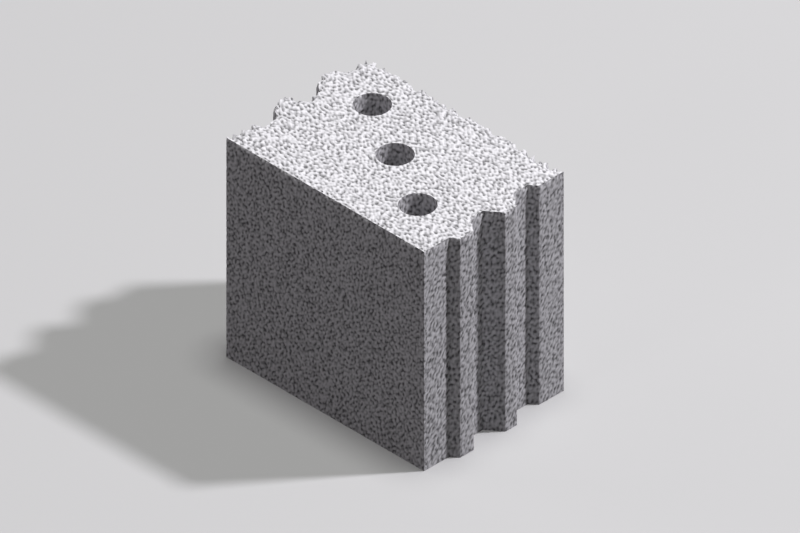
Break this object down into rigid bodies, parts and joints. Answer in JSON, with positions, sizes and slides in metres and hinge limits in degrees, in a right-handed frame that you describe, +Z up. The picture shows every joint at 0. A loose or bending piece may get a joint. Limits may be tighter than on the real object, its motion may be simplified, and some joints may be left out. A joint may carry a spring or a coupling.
{
  "type": "tongue-and-groove concrete block",
  "caption": "Solid concrete wall block with tongue-and-groove ends and a diagonal row of round upright holes.",
  "frame": {"origin": "middle of the lower bed, on the level that the block stands on", "axes": "+X along the course, towards the end whose outer tongue lies on the -Y side; +Y through the wall; +Z up"},
  "size_m": [0.264, 0.175, 0.238],
  "materials": {
    "concrete": "matte"
  },
  "bodies": {
    "root": {"concrete_block": "concrete"}
  },
  "joints": []
}
